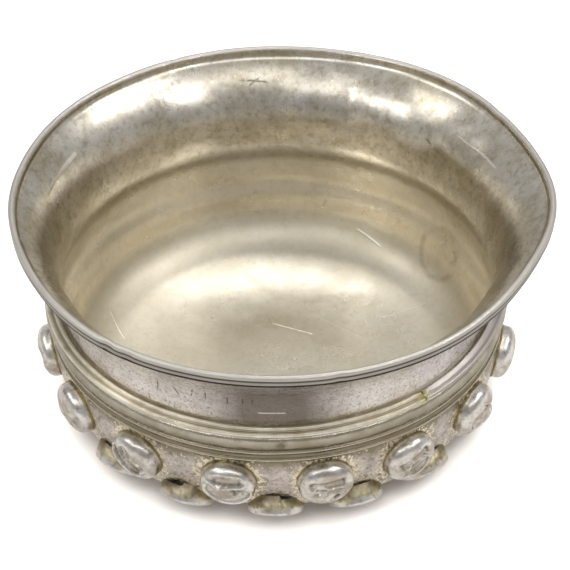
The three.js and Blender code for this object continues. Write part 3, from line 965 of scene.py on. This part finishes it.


# Thin beaten silver sheet: the crown is darkened in patches as a painted dark reflection, and dull
# gilding is left round the foot.
def boss_silver():
    material, tree = new_material("beaten silver sheet with gilding")
    place = add(tree, "TexCoord", out=3)
    rise = add(tree, "Attribute", out=2, attribute_name="rise")
    colour = stain(tree, "#efece8", "#c4bcb1", patches(tree, place, 4.55, 0.42, 0.62))
    colour = stain(tree, colour, "#857c6c", patches(tree, place, 1.67, 0.56, 0.7), 0.7)
    # The crown is darkened in patches, a painted dark reflection
    crown = add(tree, "MapRange", {"Value": rise, 1: 3.4, 2: 4.8})
    colour = stain(tree, colour, "#b3aa9c", patches(tree, place, 3.33, 0.4, 0.6), crown)
    # The dents are darkened, as tarnish and as painted shade, and the creases between them are
    # lightened, as rubbed metal and as painted highlights
    bend = add(tree, "NewGeometry", out=7)
    hollow = add(tree, "MapRange", {"Value": bend, 1: 0.495, 2: 0.465})
    crease = add(tree, "MapRange", {"Value": bend, 1: 0.52, 2: 0.56})
    colour = stain(tree, colour, "#5d5546", hollow, 0.8)
    colour = stain(tree, colour, "#fffdf8", crease, 0.8)
    # Gilding is left round the foot, up to a ragged edge, and is dull on the skirt
    ragged = add(tree, "TexNoise", {
        "Vector": place, "Scale": 1 / (2.38 * MM), "Detail": 6, "Roughness": 0.65,
    })
    edge = add(tree, "Math", {0: ragged, 1: 2.4, 2: rise}, operation="MULTIPLY_ADD")
    gilding = add(tree, "MapRange", {"Value": edge, 1: 1.7, 2: 1.2})
    gilt = stain(tree, "#dfd2b0", "#988c6c", patches(tree, place, 1.67, 0.45, 0.65))
    skirt = add(tree, "MapRange", {"Value": rise, 1: 0.2, 2: -0.8})
    gilt = stain(tree, gilt, "#8b8270", skirt, 0.65)
    colour = stain(tree, colour, gilt, gilding)
    roughness = add(tree, "MapRange", {"Value": gilding, 3: 0.3, 4: 0.42})
    normal = add(tree, "Bump", {"Height": ragged, "Strength": 0.35, "Distance": 0.3 * MM})
    metal_output(tree, colour, roughness, normal)
    return material


# Dressing the pieces
body = make_body()
body.data.materials.append(outer_silver())
body.data.materials.append(inner_silver())
for face in body.data.polygons:
    face.material_index = 1 if is_inside(face) else 0
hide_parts("bowl_body")
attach(body, "root")

hoop = make_hoop()
hoop.data.materials.append(strip_silver())
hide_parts("shoulder_moulding")
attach(hoop, "root")

boss_finish = boss_silver()
for boss in make_bosses(body):
    boss.data.materials.clear()
    boss.data.materials.append(boss_finish)
    row, _, _, number = boss.name.split("_")
    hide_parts(f"{row}_boss_{number}")
    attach(boss, "root")


# Studio: white paper under the bowl, a room that is darker towards the front, and softboxes
PAPER_SIZE = 6000
LAMP_DISTANCE = 900
LAMP_AIM = 30
CAMERA_EYE = (LIP_LEAN, -509.3, 457.6)
CAMERA_AIM = (1.1 + LIP_LEAN, 0, 36)
CAMERA_ROLL = -0.96
CAMERA_SENSOR = 36
CAMERA_LENS = 137.72


def glow(tree, to_camera, to_gloss):
    """A strength that the camera sees in full and reflections see in part."""
    path = tree.nodes.new("ShaderNodeLightPath")
    seen = add(tree, "Math", {0: path.outputs["Is Camera Ray"], 1: to_camera}, operation="MULTIPLY")
    clear = add(tree, "Math", {
        0: path.outputs["Is Glossy Ray"], 1: path.outputs["Is Transmission Ray"],
    }, operation="MAXIMUM")
    return add(tree, "Math", {0: clear, 1: to_gloss, 2: seen}, operation="MULTIPLY_ADD")


def make_floor():
    deselect_all()
    bpy.ops.mesh.primitive_plane_add(size=PAPER_SIZE * MM)
    floor = bpy.context.object
    floor.name = "floor"
    material, tree = new_material("white paper")
    paper = add(tree, "BsdfDiffuse", {"Color": "#e8e5e1"})
    # The paper glows white, except close round the foot of the bowl, where its shadow is deepest
    open_side = Vector((0.75, -0.35, 0.55)).normalized()
    open_sky = add(tree, "AmbientOcclusion", {
        "Distance": 30 * MM, "Normal": open_side,
    }, out=1, samples=16)
    lit = add(tree, "MapRange", {"Value": open_sky, 1: 0.22, 2: 0.5, 3: 0.05, 4: 0.8})
    strength = glow(tree, lit, 0.18)
    light = add(tree, "Emission", {"Color": "#fffaf5", "Strength": strength})
    both = add(tree, "AddShader", {0: paper, 1: light})
    output = tree.nodes.new("ShaderNodeOutputMaterial")
    tree.links.new(both, output.inputs["Surface"])
    floor.data.materials.append(material)


def make_surround():
    world = bpy.data.worlds.new("white surround")
    bpy.context.scene.world = world
    world.use_nodes = True
    tree = world.node_tree
    tree.nodes.clear()
    direction = add(tree, "TexCoord", out=0)
    lean = add(tree, "VectorMath", {0: direction, 1: (0, 0.7, 0.7)}, out=1, operation="DOT_PRODUCT")
    light = add(tree, "MapRange", {"Value": lean, 1: -0.7, 2: 0.9, 3: 0.27, 4: 0.44})
    strength = add(tree, "Math", {0: light, 1: glow(tree, 1.0, 0.05)}, operation="ADD")
    background = add(tree, "Background", {"Color": (1, 1, 1, 1), "Strength": strength})
    output = tree.nodes.new("ShaderNodeOutputWorld")
    tree.links.new(background, output.inputs["Surface"])


def make_lamp(name, azimuth, elevation, width, depth, radiance):
    """A softbox that faces the bowl. Azimuth is to the right from the back, radiance in W/m2/sr."""
    light = bpy.data.lights.new(name, "AREA")
    light.shape = "RECTANGLE"
    light.size = width
    light.size_y = depth
    light.energy = radiance * math.pi * width * depth
    lamp = bpy.data.objects.new(name, light)
    bpy.context.scene.collection.objects.link(lamp)
    turn, lift = math.radians(azimuth), math.radians(elevation)
    away = Vector((math.sin(turn) * math.cos(lift), math.cos(turn) * math.cos(lift), math.sin(lift)))
    lamp.location = away * LAMP_DISTANCE * MM + Vector((0, 0, LAMP_AIM)) * MM
    lamp.rotation_euler = (-away).to_track_quat("-Z", "Y").to_euler()


# The camera was fitted to the outline of the lip and the bosses in the photo
def make_camera():
    eye = Vector(CAMERA_EYE) * MM
    aim = Vector(CAMERA_AIM) * MM
    roll = math.radians(CAMERA_ROLL)
    ahead = (aim - eye).normalized()
    level = ahead.cross(Vector((0, 0, 1))).normalized()
    above = level.cross(ahead)
    right = level * math.cos(roll) + above * math.sin(roll)
    up = above * math.cos(roll) - level * math.sin(roll)
    data = bpy.data.cameras.new("camera")
    data.sensor_width = CAMERA_SENSOR
    data.lens = CAMERA_LENS
    camera = bpy.data.objects.new("camera", data)
    bpy.context.scene.collection.objects.link(camera)
    matrix = Matrix((right, up, -ahead)).transposed().to_4x4()
    matrix.translation = eye
    camera.matrix_world = matrix
    bpy.context.scene.camera = camera


make_floor()
make_surround()
make_lamp("back lamp", -7, 66, 0.21, 0.19, 5.6)
make_lamp("back right lamp", 29, 66, 0.21, 0.19, 4.8)
make_lamp("front top lamp", 180, 57, 0.6, 0.25, 1.9)
make_lamp("right lamp", 92, 50, 0.3, 0.3, 6)
make_lamp("left lamp", -92, 45, 0.3, 0.3, 3.5)
make_lamp("front right lamp", 132, 46, 0.2, 0.2, 5)
make_lamp("front left lamp", -132, 42, 0.2, 0.2, 5)
make_camera()
bpy.context.scene.view_settings.view_transform = "Standard"
